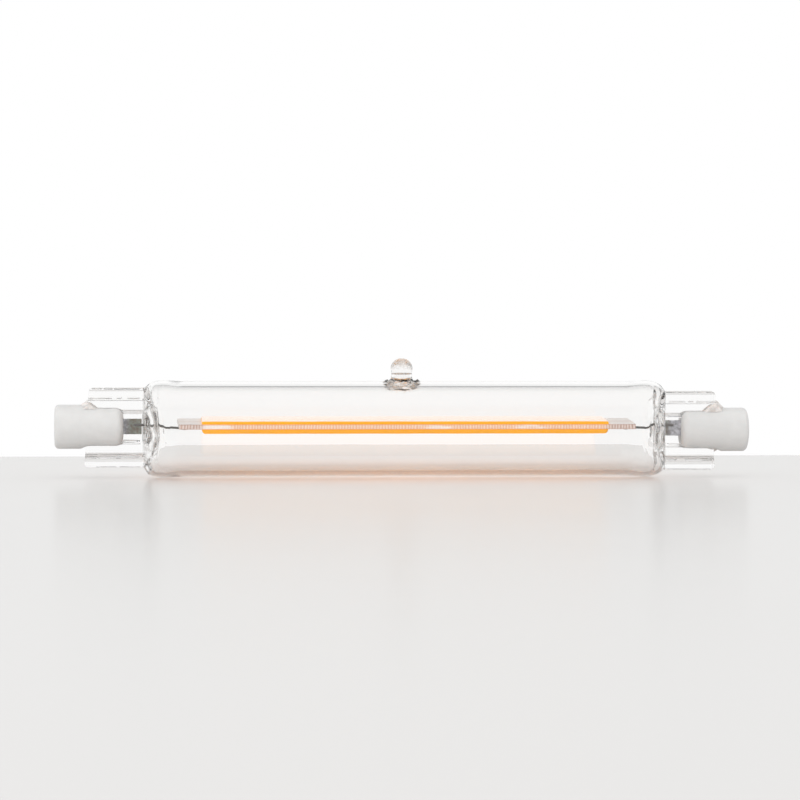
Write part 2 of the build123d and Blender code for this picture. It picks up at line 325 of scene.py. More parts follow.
def seal_marks(g, x, z):
    """Height of the broken ridges that the press jaws leave along the seals, from 0 to 1."""
    sizes = settings().envelope
    rises = tuple(sizes.seal_rise)
    shoulders = tuple(sizes.shoulder)
    on_right = 2.0 * x.above(-0.001, 0.001) - 1.0
    middle = (rises[0] + rises[1]) / 2 + (rises[1] - rises[0]) / 2 * on_right
    away = abs(z - sizes.axis_height - middle)
    reach = abs(x + (shoulders[0] - shoulders[1]) / 2)
    shoulder = (shoulders[0] + shoulders[1]) / 2
    on_seal = reach.above(shoulder + 0.0004, shoulder + 0.001)
    broken = g.noise(700.0, 2.0, stretch=(1.0, 0.2, 0.5)).above(0.36, 0.44)
    wander = g.noise(160.0, 2.0) * 0.0003
    marks = 0.0
    for place, half, depth in ((0.00235, 0.00009, 0.8), (0.0027, 0.00007, 0.5), (0.0050, 0.00012, 0.9)):
        ridge = 1.0 - abs(away - place + wander - 0.00015).above(half * 0.2, half * 1.6)
        marks = ridge * depth + marks
    return marks * broken * on_seal


def phosphor_coating():
    """Dispensed phosphor silicone: fine grain, slight colour drift and a glossy skin, with a painted pale sheen
    on the top at grazing view and a painted glow, strongest underneath.
    """
    def inputs(g):
        shade = shade_of("coating")
        drift = g.noise(120.0, 3.0, stretch=(0.4, 1.0, 1.0))
        grain = g.noise(5200.0, 4.0)
        body = g.vary(drift.above(0.35, 0.65), shade, 0.96, 1.03)
        body = g.mix(grain.above(0.4, 0.7) * 0.25, body, (1.0, 0.50, 0.03))
        up = strip_axes(g)[1]
        skin = up.above(0.00072, 0.0008)
        # Painted sheen: the coating's top face turns pale where it is seen at a grazing angle
        painted_grazing_sheen = g.node("ShaderNodeLayerWeight", inputs={"Blend": 0.5}, output="Facing").above(0.7, 0.86)
        body = g.mix(skin * painted_grazing_sheen * 0.8, body, (0.97, 0.60, 0.48))
        return {
            "Base Color": body,
            "Roughness": 0.14 + 0.12 * grain,
            "IOR": 1.5,
            "Specular IOR Level": 0.35,
            "Coat Weight": skin,
            "Coat IOR": 1.6,
            "Coat Roughness": 0.03,
            # Painted glow: the underside glows orange so that the floor below turns warm; the other faces glow
            # faintly in the coating's own colour
            "Emission Color": g.mix(up.above(-0.00122, -0.00112), (1.0, 0.54, 0.29), scaled(shade, 0.19)),
            "Emission Strength": 1.0,
            "Normal": g.bump(grain, 0.00001, 0.25),
        }
    return finish("phosphor coating", inputs)


def bare_strip():
    """Translucent sawn strip: hatched edges, scribed top, warmer where the coating covers it, with painted
    shade along the top and bottom of its sawn sides, painted highlight streaks and a painted glow where coated.
    """
    def inputs(g):
        strip = settings().strip
        x = g.axes()[0]
        across, up = strip_axes(g)
        shade = shade_of("strip")
        hatch = g.node(
            "ShaderNodeTexWave", {"wave_type": "BANDS", "bands_direction": "X"},
            {"Vector": g.stretched(1.0, 1.0, 0.7), "Scale": 640.0, "Distortion": 3.0, "Detail": 2.0},
            output="Fac")
        # Painted highlight streaks, near white, on the coated part of the strip
        painted_highlight_streak = g.noise(260.0, 3.0, stretch=(0.35, 1.0, 2.0)).above(0.52, 0.62)
        middle = (strip.coat_end[1] - strip.coat_end[0]) / 2
        half = (strip.coat_end[1] + strip.coat_end[0]) / 2
        covered = 1.0 - abs(x - middle).above(half - 0.0008, half + 0.0006)
        edge = abs(across).above(0.00452, 0.00458)
        # Painted shade: darker bands along the top and bottom of the sawn sides, where their rounded edges turn
        # away from the light
        painted_edge_shade = abs(up).above(0.00022, 0.00034)
        warm = g.mix(hatch, (0.86, 0.50, 0.33), (0.98, 0.74, 0.58))
        warm = g.mix(painted_highlight_streak * 0.8, warm, (0.99, 0.93, 0.88))
        warm = g.mix(painted_edge_shade * 0.75, warm, (0.80, 0.42, 0.24))
        sawn = g.mix(hatch, (0.62, 0.43, 0.36), (0.90, 0.78, 0.73))
        sawn = g.mix(painted_edge_shade * 0.6, sawn, (0.55, 0.36, 0.30))
        scribed = 1.0 - abs(abs(across) - 0.0006).above(0.00015, 0.00035)
        bare = g.mix(scribed * 0.7, shade, (0.62, 0.45, 0.38))
        bare = g.mix(edge, bare, sawn)
        return {
            "Base Color": g.mix(covered, bare, warm),
            # Painted glow in the warm colour where the coating covers the strip
            "Emission Color": g.mix(covered, (0.0, 0.0, 0.0), warm),
            "Emission Strength": 0.12,
            "Roughness": 0.3 + 0.25 * edge,
            "IOR": 1.5,
            "Specular IOR Level": 0.35,
            "Normal": g.bump(hatch * edge, 0.00003, 0.6),
        }
    material = finish("sawn translucent strip", inputs)
    shaded_through(material, (1.0, 0.88, 0.79))
    return material


def strip_axes(g):
    """Place across the strip and above its middle plane."""
    strip = settings().strip
    y, z = g.axes()[1:]
    lift = z - (settings().envelope.axis_height + strip.rise)
    turned = math.cos(strip.tilt), math.sin(strip.tilt)
    return y * turned[0] + lift * turned[1], lift * turned[0] - y * turned[1]


def shaded_through(material, shade):
    """Let the light that a translucent piece keeps off its neighbours through, in a colour."""
    graph = Graph(material.node_tree)
    output = material.node_tree.nodes["Material Output"]
    path = graph.node("ShaderNodeLightPath", output="Is Shadow Ray")
    veil = graph.node("ShaderNodeBsdfTransparent", inputs={0: shade})
    solid = Value(graph, material.node_tree.nodes["Principled BSDF"].outputs[0])
    both = graph.node("ShaderNodeMixShader", inputs={0: path, 1: solid, 2: veil})
    graph.feed(output.inputs["Surface"], both)


def white_ceramic():
    """Pressed steatite: smooth, slightly translucent, with faint mottling and pinholes."""
    def inputs(g):
        shade = shade_of("ceramic")
        mottle = g.noise(420.0, 4.0)
        grain = g.noise(4200.0, 3.0)
        pits = g.noise(1900.0, 2.0).above(0.70, 0.78)
        body = g.vary(mottle.above(0.35, 0.7), shade, 0.97, 1.02)
        return {
            "Base Color": g.mix(pits * 0.5, body, scaled(shade, 0.82)),
            "Roughness": 0.36 + 0.14 * mottle,
            "Subsurface Weight": 0.15,
            "Subsurface Radius": (0.0012, 0.001, 0.0009),
            "Subsurface Scale": 1.0,
            "Normal": g.bump(grain * 0.4 - pits, 0.00003, 0.35),
        }
    return finish("pressed white ceramic", inputs)


def lamp_cement():
    """Cement with sand in it, squeezed out and set, damp-looking where it is thin."""
    def inputs(g):
        shade = shade_of("cement")
        lumps = g.noise(900.0, 4.0, 0.6)
        sand = g.noise(5000.0, 3.0, 0.6)
        stain = g.noise(300.0, 2.0).above(0.55, 0.72)
        body = g.vary(lumps.above(0.3, 0.7), shade, 0.82, 1.18)
        return {
            "Base Color": g.mix(stain * 0.4, body, (0.42, 0.31, 0.23)),
            "Roughness": 0.5 + 0.3 * sand,
            "Subsurface Weight": 0.2,
            "Subsurface Radius": (0.0008, 0.0006, 0.0005),
            "Subsurface Scale": 1.0,
            "Normal": g.bump(lumps * 0.7 + sand * 0.5, 0.00008, 0.7),
        }
    return finish("set cement", inputs)


def sealed_foil():
    """Etched molybdenum ribbon: rolled lines, mottled where the glass wetted it, heat tint at the welds."""
    def inputs(g):
        x = g.axes()[0]
        shade = shade_of("foil")
        rolled = g.noise(2600.0, 2.0, stretch=(0.04, 1.0, 1.0))
        mottle = g.noise(1700.0, 5.0, 0.65)
        shoulder = settings().envelope.shoulder
        inner_end = 1.0 - (abs(x + 0.0006) - 0.0006).above(shoulder[0] + 0.0008, shoulder[0] + 0.0022)
        tint = g.ramp(
            mottle, (0.25, (0.10, 0.085, 0.07)), (0.45, (0.24, 0.18, 0.12)),
            (0.55, (0.20, 0.24, 0.17)), (0.75, (0.46, 0.42, 0.36)))
        body = g.vary(mottle.above(0.35, 0.65), shade, 0.7, 1.35)
        return {
            "Base Color": g.mix(inner_end * 0.8, body, tint),
            "Metallic": 0.2,
            "Roughness": 0.4 + 0.3 * mottle,
            "Normal": g.bump(rolled + mottle, 0.00004, 0.5),
        }
    return finish("sealed foil", inputs)


def drawn_metal(name, shade, roughness, drawn):
    """Drawn or rolled metal with lines along X and a little oxide."""
    def inputs(g):
        lines = g.noise(2500.0, 2.0, stretch=(drawn, 1.0, 1.0))
        oxide = g.noise(900.0, 4.0, 0.6)
        body = g.vary(lines.above(0.3, 0.7), shade, 0.8, 1.15)
        return {
            "Base Color": g.mix(oxide.above(0.55, 0.8) * 0.6, body, scaled(shade, 0.45)),
            "Metallic": 1.0,
            "Roughness": roughness + 0.25 * oxide,
            "Normal": g.bump(lines, 0.00002, 0.4),
        }
    return finish(name, inputs)


def bright_solder():
    """Set solder: bright, with a grainy frost and flux stain."""
    def inputs(g):
        frost = g.noise(3800.0, 4.0, 0.6)
        flux = g.noise(1200.0, 2.0).above(0.55, 0.7)
        body = g.mix(frost, (0.52, 0.52, 0.52), (0.74, 0.73, 0.71))
        return {
            "Base Color": g.mix(flux * 0.4, body, (0.42, 0.30, 0.16)),
            "Metallic": 0.95,
            "Roughness": 0.22 + 0.3 * frost,
            "Normal": g.bump(frost, 0.00003, 0.6),
        }
    return finish("set solder", inputs)


def contact_face():
    """Pressed contact button: turning marks around its own centre, with a worn bright middle."""
    def inputs(g):
        y, z = g.axes()[1:]
        shade = shade_of("contact")
        up = z - settings().envelope.axis_height
        away = (y * y + up * up) ** 0.5
        rings = g.node(
            "ShaderNodeMath", {"operation": "SINE"}, {0: away * 42000.0}) * 0.5 + 0.5
        worn = 1.0 - away.above(0.0004, 0.0014)
        specks = g.noise(2600.0, 4.0, 0.6)
        body = g.mix(specks.above(0.4, 0.7), shade, scaled(shade, 0.72))
        return {
            "Base Color": g.mix(worn * 0.5, body, (0.74, 0.72, 0.68)),
            "Metallic": 1.0,
            "Roughness": 0.26 + 0.2 * specks,
            "Normal": g.bump(rings * 0.4 + specks, 0.00002, 0.5),
        }
    return finish("pressed contact", inputs)


def chip_face():
    """Small chips under the coating: dark dies with a pale frame."""
    def inputs(g):
        grain = g.noise(6000.0, 2.0)
        return {
            "Base Color": g.mix(grain, (0.28, 0.33, 0.52), (0.55, 0.60, 0.74)),
            "Roughness": 0.15 + 0.2 * grain,
            "Normal": g.bump(grain, 0.00001, 0.4),
        }
    return finish("chip face", inputs)


# Mesh building

def linked(name, data):
    """A new object in the scene."""
    piece = bpy.data.objects.new(name, data)
    bpy.context.scene.collection.objects.link(piece)
    return piece


def closed_mesh(name, points, faces, hollow_from=None):
    """An object from points in metres and faces; faces from hollow_from on line a hollow."""
    mesh = bpy.data.meshes.new(name)
    mesh.from_pydata([tuple(point) for point in points], [], faces)
    outward(mesh, hollow_from)
    return linked(name, mesh)


def painted(piece, material):
    """Give an object its only material."""
    piece.data.materials.clear()
    piece.data.materials.append(material)
    return piece


def smoothed(piece, sharp_angle):
    """Shade an object smooth, apart from edges sharper than an angle in degrees."""
    piece.data.shade_smooth()
    piece.data.set_sharp_from_angle(angle=math.radians(sharp_angle))
    return piece


def mesh_object(name, points, faces, material, sharp_angle=40.0, hollow_from=None):
    """A smooth-shaded closed object with its material."""
    return painted(smoothed(closed_mesh(name, points, faces, hollow_from), sharp_angle), material)


def rounded(piece, width, segments, angle):
    """Round the edges of an object that are sharper than an angle in degrees."""
    rounding = piece.modifiers.new("edge rounding", "BEVEL")
    rounding.width = width
    rounding.segments = segments
    rounding.limit_method = "ANGLE"
    rounding.angle_limit = math.radians(angle)


def outward(mesh, hollow_from=None):
    """Turn all faces of a closed mesh to face out, and those from hollow_from on into their hollow."""
    bm = bmesh.new()
    bm.from_mesh(mesh)
    bmesh.ops.recalc_face_normals(bm, faces=bm.faces)
    if hollow_from is not None:
        bm.faces.ensure_lookup_table()
        bmesh.ops.reverse_faces(bm, faces=bm.faces[hollow_from:])
    bmesh.ops.remove_doubles(bm, verts=bm.verts, dist=1e-8)
    bm.to_mesh(mesh)
    bm.free()


def settle(piece, slot, *nodes):
    """Put a finished piece on the lamp's body in place of its CAD nodes."""
    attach(piece, "root")
    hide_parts(*nodes)


def baked(piece):
    """Turn an object's modifiers into its own mesh."""
    bpy.context.view_layer.update()
    graph = bpy.context.evaluated_depsgraph_get()
    mesh = bpy.data.meshes.new_from_object(piece.evaluated_get(graph), depsgraph=graph)
    piece.modifiers.clear()
    piece.data = mesh
    return piece


def smooth_step(value, low, high):
    """0 below low, 1 above high, and smooth between them."""
    share = np.clip((value - low) / (high - low), 0.0, 1.0)
    return share * share * (3 - 2 * share)


def soft_min(first, second, blend):
    """The smaller of two heights with a rounded changeover."""
    share = np.clip(0.5 + 0.5 * (second - first) / blend, 0.0, 1.0)
    return second * (1 - share) + first * share - blend * share * (1 - share)


def ring_walls(rings, count):
    """Faces between neighbouring rings of count points each."""
    faces = []
    for low in range(0, (rings - 1) * count, count):
        for step in range(count):
            after = (step + 1) % count
            faces.append((low + step, low + after, low + count + after, low + count + step))
    return faces


def on_strip(x, across, up):
    """A point of the strip's own flat frame, moved to its tilted place in the tube."""
    strip = settings().strip
    cosine, sine = math.cos(strip.tilt), math.sin(strip.tilt)
    height = settings().envelope.axis_height + strip.rise
    return x, across * cosine - up * sine, height + across * sine + up * cosine


def spin(profile, steps, start=0.0):
    """Points and faces of a closed body turned about X from (x, radius) points, closed on the axis."""
    points = []
    for along, radius in profile:
        for step in range(steps):
            turn = start + 2 * math.pi * step / steps
            points.append((along, radius * math.cos(turn), radius * math.sin(turn)))
    faces = ring_walls(len(profile), steps)
    first = len(points)
    points += [(profile[0][0], 0.0, 0.0), (profile[-1][0], 0.0, 0.0)]
    last = (len(profile) - 1) * steps
    for step in range(steps):
        after = (step + 1) % steps
        faces.append((after, step, first))
        faces.append((last + step, last + after, first + 1))
    return points, faces


def arc(centre, radius, start, end, steps):
    """Points of an arc in degrees, both ends included."""
    turns = [math.radians(start + (end - start) * step / steps) for step in range(steps + 1)]
    return [(centre[0] + radius * math.cos(turn), centre[1] + radius * math.sin(turn)) for turn in turns]


# Glass envelope

# In millimetres: the pressed shoulder is a quarter ellipse down to the seal's land; seals end in a round
PRESS_RUN = 3.3
PRESS_DROP = 6.6
LAND = 1.75
END_ROUND = 0.8


class Skin:
    """One closed surface of the envelope: rings of points along X, with a patch drawn up around the tip."""

    def __init__(self, around):
        self.around = around
        self.points = []
        self.faces = []
        self.rings = []

    def add_ring(self, ring):
        """Add a ring of points around X."""
        self.rings.append(len(self.points))
        self.points += [tuple(point) for point in ring]

    def skin_rings(self, hole):
        """Join neighbouring rings, leaving out the patch (first ring, last ring, half width)."""
        first, last, half = hole
        top = self.around // 4
        for index in range(len(self.rings) - 1):
            low, high = self.rings[index], self.rings[index + 1]
            for step in range(self.around):
                after = (step + 1) % self.around
                if first <= index < last and top - half <= step < top + half:
                    continue
                self.faces.append((low + step, low + after, high + after, high + step))

    def close(self, index):
        """Close an end ring straight across, from its front to its back."""
        low = self.rings[index]
        half = self.around // 2
        quarter = self.around // 4
        for step in range(-quarter, quarter):
            face = [step, step + 1, half - step - 1, half - step]
            corners = []
            for corner in face:
                point = low + corner % self.around
                if point not in corners:
                    corners.append(point)
            self.faces.append(tuple(corners))

    def patch_edge(self, hole):
        """Points around the edge of the patch, in order."""
        first, last, half = hole
        top = self.around // 4
        edge = [self.rings[first] + step for step in range(top - half, top + half)]
        edge += [self.rings[index] + top + half for index in range(first, last)]
        edge += [self.rings[last] + step for step in range(top + half, top - half, -1)]
        edge += [self.rings[index] + top - half for index in range(last, first, -1)]
        return edge

    def draw_up(self, hole, heights, tip_point):
        """Fill the patch with rings around the tip's axis; heights gives (share or radius, height function)."""
        edge = self.patch_edge(hole)
        middle = tip_point[0]
        flat = [(self.points[index][0] - middle, self.points[index][1]) for index in edge]
        turns = [math.atan2(across, along) for along, across in flat]
        reach = [math.hypot(along, across) for along, across in flat]
        before = edge
        count = len(edge)
        for share, radius, height in heights:
            ring = []
            for turn, far in zip(turns, reach):
                away = far + (radius - far) * share
                ring.append(len(self.points))
                across = away * math.sin(turn)
                self.points.append((middle + away * math.cos(turn), across, height(away, turn)))
            for step in range(count):
                after = (step + 1) % count
                self.faces.append((before[step], before[after], ring[after], ring[step]))
            before = ring
        apex = len(self.points)
        self.points.append(tip_point)
        for step in range(count):
            self.faces.append((before[step], before[(step + 1) % count], apex))


def seal_depth(height):
    """Half thickness of a seal at a height from its own middle: land, web, and thick rounded rims."""
    away = np.abs(height)
    land = 1.6 - 0.3 * smooth_step(away, 2.30, 2.95)
    rim = 0.8 * smooth_step(away, 4.5, 5.35)
    depth = land + rim
    over = np.clip((away - 5.95) / 0.8, 0.0, 1.0)
    return depth - 0.95 * (1.0 - np.sqrt(1.0 - over * over))


def placed_ring(sizes, side, along, turns, depth, height):
    """Ring in metres at its own end of the lamp, from half depths and heights in millimetres."""
    front = -np.sign(np.cos(turns)) * depth
    front[np.abs(np.cos(turns)) < 1e-9] = 0.0
    return np.stack([along * SIDES[side] + 0 * height, front, height + sizes.axis_height / MM], axis=1) * MM


def outer_ring(sizes, side, along):
    """Ring of the outer surface at a distance from the lamp's middle, in millimetres."""
    per_side = sizes.shoulder, sizes.seal_end, sizes.seal_rise, sizes.seal_slant
    shoulder, end, rise, slant = (values[INDEX[side]] / MM for values in per_side)
    half_seal = sizes.half_seal / MM
    radius = sizes.radius / MM
    turns = 2 * np.pi * np.arange(sizes.around) / sizes.around
    swollen = radius + 0.15 * smooth_step(along, shoulder - 6.4, shoulder - 3.2)
    over = np.clip((along - shoulder + 3.2) / 3.4, 0.0, 1.0)
    barrel = 6.2 + (swollen - 6.2) * math.sqrt(1.0 - over * over)
    if along < shoulder - 3.2:
        barrel = swollen
    into_round = max(0.0, along - (end - END_ROUND))
    corner = END_ROUND - math.sqrt(max(0.0, END_ROUND ** 2 - into_round ** 2))
    plate_top = half_seal + rise - corner
    plate_low = half_seal - rise - corner
    top = barrel
    low = barrel
    if along > shoulder - 1.2:
        share = float(smooth_step(along, shoulder - 1.2, shoulder + 0.1))
        top += (plate_top - top) * share * share
        low += (plate_low - low) * share * share
    middle = (top - low) / 2
    half = (top + low) / 2
    height = middle + half * np.sin(turns)
    round_part = np.sqrt(np.maximum(barrel * barrel - height * height, 0.0))
    depth = round_part
    if along > shoulder - 4.4:
        share = np.clip((along - shoulder + PRESS_RUN) / PRESS_RUN, 0.0, 1.0)
        press = LAND + PRESS_DROP * math.sqrt(1.0 - share * share)
        pressed = soft_min(round_part, np.full_like(round_part, press), 0.4)
        pressed = np.minimum(pressed, round_part)
        plate = seal_depth(height - rise)
        gone = smooth_step(along, shoulder - 0.02, shoulder + 0.1)
        depth = pressed * (1 - gone) + plate * gone
    depth = np.minimum(depth, 3.0 * half * np.abs(np.cos(turns)))
    depth = depth * (1.0 - 0.06 * smooth_step(along, end - 0.25, end))
    lean = slant * (height - rise) / half_seal * smooth_step(along, shoulder + 1.0, end)
    return placed_ring(sizes, side, along - lean, turns, depth, height)


def inner_ring(sizes, side, along, fold):
    """Ring of the inner surface; fold is the half depth that the folded walls leave, in millimetres."""
    shoulder = sizes.shoulder[INDEX[side]] / MM
    bore = (sizes.radius - sizes.wall) / MM
    turns = 2 * np.pi * np.arange(sizes.around) / sizes.around
    swollen = bore + 0.3 * smooth_step(along, shoulder - 6.8, shoulder - 3.4)
    over = np.clip((along - shoulder + 3.4) / 3.1, 0.0, 1.0)
    radius = 6.0 + (swollen - 6.0) * math.sqrt(1.0 - over * over)
    if along < shoulder - 3.4:
        radius = float(swollen)
    height = radius * np.sin(turns)
    depth = radius * np.abs(np.cos(turns))
    if fold is not None:
        depth = np.minimum(soft_min(depth, np.full_like(depth, fold), min(0.4, fold)), depth)
        depth = np.maximum(depth, 0.0)
        wander = 0.16 * np.sin(0.95 * height + SIDES[side]) + 0.09 * np.sin(2.3 * height + 0.6)
        setback = shoulder - along
        swing = float(smooth_step(setback, 0.7, 1.3) * (1 - smooth_step(setback, 2.0, 3.4)))
        waves = np.sin(2 * np.pi * (setback + wander) / 1.35 + 0.8)
        depth = depth + 0.12 * swing * np.abs(np.cos(turns)) * waves
        depth = np.maximum(depth, 0.0)
        along = along + wander * smooth_step(7.0 - fold, 0.0, 4.0)
    return placed_ring(sizes, side, along, turns, depth, height)


def fold_stations(steps):
    """Evenly spaced (setback, half depth) places along the wall that folds in behind the pressed shoulder."""
    wall = 1.0
    line = []
    for turn in np.linspace(0.0, math.pi / 2, 60):
        away = Vector((math.sin(turn) / PRESS_RUN, math.cos(turn) / PRESS_DROP)).normalized()
        line.append((
            PRESS_RUN * (1.0 - math.sin(turn)) + wall * away.x,
            LAND + PRESS_DROP * math.cos(turn) - wall * away.y))
    for turn in np.linspace(0.0, math.pi / 2, 20)[1:]:
        line.append((wall - 0.2 * math.sin(turn), LAND - (LAND - 0.03) * (1.0 - math.cos(turn))))
    line = np.array(line)
    run = np.concatenate([[0.0], np.cumsum(np.hypot(*np.diff(line, axis=0).T))])
    places = np.linspace(0.0, run[-1], steps)
    return list(zip(np.interp(places, run, line[:, 0]), np.interp(places, run, line[:, 1])))


def straight_places(start, patch_half, offset, patch_steps, run_steps):
    """Places across the patch about its own middle, and places from its edge outward to start."""
    inner = np.linspace(-patch_half, patch_half, 2 * patch_steps + 1)
    outward_run = np.linspace(patch_half + offset, start, run_steps + 1)[1:]
    return inner, outward_run


def glass_skin(sizes, outer):
    """The outer or the inner skin of the envelope, with its part of the exhaust tip."""
    skin = Skin(sizes.around)
    patch_half, patch_steps = 5.0, 14
    columns = {}
    for side in SIDES:
        shoulder = sizes.shoulder[INDEX[side]] / MM
        end = sizes.seal_end[INDEX[side]] / MM
        offset = sizes.tip_offset / MM * SIDES[side]
        inner, run = straight_places(shoulder - 6.8, patch_half, offset, patch_steps, 10)
        rings = []
        if outer:
            places = list(run) + list(np.linspace(shoulder - 6.6, shoulder - 0.2, 46))
            places += [shoulder + step for step in (-0.12, -0.06, -0.02, 0.01, 0.04, 0.07, 0.1, 0.16, 0.3, 0.5)]
            places += list(np.linspace(shoulder + 0.8, end - 0.9, 18))
            places += [end - END_ROUND + END_ROUND * math.sin(math.pi / 2 * step / 8) for step in range(9)]
            rings = [outer_ring(sizes, side, place) for place in places]
        else:
            places = list(run) + list(np.linspace(shoulder - 6.6, shoulder - 3.5, 14))
            rings = [inner_ring(sizes, side, place, None) for place in places]
            for setback, fold in fold_stations(44):
                rings.append(inner_ring(sizes, side, shoulder - setback, fold))
        columns[side] = rings
    for ring in reversed(columns["left"]):
        skin.add_ring(ring)
    first = len(skin.rings)
    for place in inner + sizes.tip_offset / MM:
        side = "left" if place < 0 else "right"
        if outer:
            skin.add_ring(outer_ring(sizes, side, abs(place)))
        else:
            skin.add_ring(inner_ring(sizes, side, abs(place), None))
    last = len(skin.rings) - 1
    for ring in columns["right"]:
        skin.add_ring(ring)
    half_turn = round(sizes.around * math.asin(patch_half / (sizes.radius / MM)) / (2 * math.pi))
    hole = (first, last, half_turn)
    skin.skin_rings(hole)
    skin.close(0)
    skin.close(len(skin.rings) - 1)
    if outer:
        draw_tip(skin, sizes, hole)
    else:
        draw_bore(skin, sizes, hole)
    return skin


def saddle_over(base, radius):
    """Height of a tube's top at a distance and a turn from the tip's axis."""
    def saddle(away, turn):
        across = away * math.sin(turn)
        return base + math.sqrt(radius * radius - across * across)
    return saddle


def draw_tip(skin, sizes, hole):
    """Draw the outer skin up into the exhaust tip, over a lumpy ring of melted glass."""
    radius = sizes.radius
    base = sizes.axis_height
    stem = sizes.tip_radius
    ring = 3.25 * MM
    crown = base + radius + sizes.tip_height
    saddle = saddle_over(base, radius)

    def melted(away, turn):
        share = min(1.0, max(0.0, (ring - away) / (ring - stem)))
        flare = 0.42 * MM * share ** 5
        wave = 1 + 0.6 * math.sin(3 * turn + 0.8) + 0.55 * math.sin(7 * turn + 2.0)
        bead = 0.15 * MM * math.exp(-(((away / MM - 2.75) / 0.24) ** 2)) * wave
        lump = 0.08 * MM * math.sin(11 * turn + 2.0 + 4 * share) * math.sin(math.pi * share)
        lump += 0.05 * MM * math.sin(5 * turn - 9 * share) * math.sin(math.pi * share)
        return saddle(away, turn) + flare + bead + lump

    heights = [(step / 9, ring, saddle) for step in range(1, 10)]
    heights += [(1.0, ring + (stem - ring) * step / 14, melted) for step in range(1, 15)]
    waist = crown - 1.75 * MM
    for step in range(1, 8):
        share = step / 8
        bulge = stem * (1 - 0.05 * math.sin(math.pi * share) + 0.02 * share)

        def rising(away, turn, share=share):
            return melted(stem, turn) * (1 - share) + waist * share

        heights.append((1.0, bulge, rising))
    for step in range(14):
        turned = math.radians(90 * step / 14)
        heights.append((
            1.0, stem * 1.02 * math.cos(turned),
            lambda away, turn, turned=turned: waist + 1.75 * MM * math.sin(turned)))
    skin.draw_up(hole, heights, (sizes.tip_offset, 0.0, crown))


def draw_bore(skin, sizes, hole):
    """Draw the inner skin down around the tip's root and up into what is left of its bore."""
    radius = sizes.radius - sizes.wall
    base = sizes.axis_height
    ring = 3.1 * MM
    lip = 1.75 * MM
    bore = 1.33 * MM
    floor = base + radius - 0.5 * MM
    top = base + sizes.radius + 1.55 * MM
    saddle = saddle_over(base, radius)

    def sagging(away, turn):
        share = min(1.0, max(0.0, (ring - away) / (ring - lip)))
        droop = share * share * (3 - 2 * share)
        waves = math.sin(4 * turn + 1.0) + 0.8 * math.sin(9 * turn + 5 * share)
        ripple = 0.11 * MM * waves * math.sin(math.pi * share)
        return saddle(away, turn) * (1 - droop) + floor * droop + ripple

    heights = [(step / 9, ring, saddle) for step in range(1, 10)]
    heights += [(1.0, ring + (lip - ring) * step / 10, sagging) for step in range(1, 11)]
    for step in range(1, 9):
        turned = math.radians(90 * step / 8)
        heights.append((
            1.0, lip + (bore - lip) * math.sin(turned),
            lambda away, turn, turned=turned: floor + 0.5 * MM * (1 - math.cos(turned))))
    for step in range(1, 9):
        share = step / 8
        heights.append((
            1.0, bore * (1 - 0.03 * share),
            lambda away, turn, share=share: floor + 0.5 * MM + (top - 0.95 * MM - floor) * share))
    for step in range(1, 10):
        turned = math.radians(90 * step / 10)
        heights.append((
            1.0, bore * 0.97 * math.cos(turned) ** 0.6,
            lambda away, turn, turned=turned: top - 0.45 * MM + 0.45 * MM * math.sin(turned)))
    skin.draw_up(hole, heights, (sizes.tip_offset, 0.0, top))


class BuildEnvelope(bpy.types.Operator):
    """Build the glass tube with its pressed seals and exhaust tip."""
    bl_idname = "strip_lamp.envelope"
    bl_label = "Glass envelope"

    def execute(self, context):
        sizes = settings().envelope
        points, faces = [], []
        for outer in (True, False):
            skin = glass_skin(sizes, outer)
            shift, hollow_from = len(points), len(faces)
            points += skin.points
            faces += [tuple(index + shift for index in face) for face in skin.faces]
        glass = mesh_object("glass", points, faces, clear_glass(), 38.0, hollow_from)
        glass.visible_shadow = False
        settle(glass, "clear_glass", "glass_envelope")
        return {"FINISHED"}


# Light strip

def coating_slab(name, material, ends, width, inner, outer, rounding, seed):
    """Dispensed coating: a slab with rounded outer edges and ends and slightly uneven sides."""
    rng = np.random.default_rng(seed)
    phases = rng.uniform(0.0, 2 * math.pi, 8)
    thick = abs(outer - inner)
    sign = 1.0 if outer > inner else -1.0
    left, right = -ends[0], ends[1]
    half = width / 2
    turns = [math.pi / 2 * step / 7 for step in range(8)]
    bend = [((rounding / half) * (1 - math.cos(turned)), math.sin(turned)) for turned in turns]
    ring_shape = [(-1.0, 0.0)] + [(-1.0 + run, up) for run, up in bend]
    ring_shape += [(share, 1.0) for share in np.linspace(-0.8, 0.8, 17)]
    ring_shape += [(1.0 - run, up) for run, up in reversed(bend)] + [(1.0, 0.0)]
    ring_shape += [(share, 0.0) for share in np.linspace(0.8, -0.8, 17)]
    turn_in = rounding * 1.6
    ease = [left + turn_in * (1 - math.cos(math.pi / 2 * step / 8)) for step in range(9)]
    places = ease + list(np.linspace(left + turn_in, right - turn_in, 220))[1:-1]
    places += [right + left - place for place in reversed(ease)]
    points = []
    for place in places:
        inset = min(place - left, right - place)
        share = min(1.0, inset / turn_in)
        swell = math.sqrt(max(0.0, 1.0 - (1.0 - share) ** 2))
        uneven = sum(math.sin(place * 400.0 * (1 + 0.7 * k) + phases[k]) for k in range(4)) / 4
        sides_here = half - rounding * 1.1 * (1 - swell) + 0.00003 * uneven
        depth = thick * (0.12 + 0.88 * swell) * (1 + 0.02 * math.sin(place * 610.0 + phases[5]))
        for across, up in ring_shape:
            y = across * sides_here
            crown = 0.03 * MM * (1 - across * across) * up
            points.append(on_strip(place, y, inner + sign * (up * (depth - 0.03 * MM) + crown)))
    count = len(ring_shape)
    faces = ring_walls(len(places), count)
    faces.append(tuple(range(count)))
    faces.append(tuple(range(len(points) - count, len(points))))
    return mesh_object(name, points, faces, material, 35.0)


def dress_node(node, material, bevel=0.0):
    """Give a CAD node its finish, and a small rounding on its edges."""
    piece = painted(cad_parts[node], material)
    if bevel:
        rounded(piece, bevel, 2, 40)


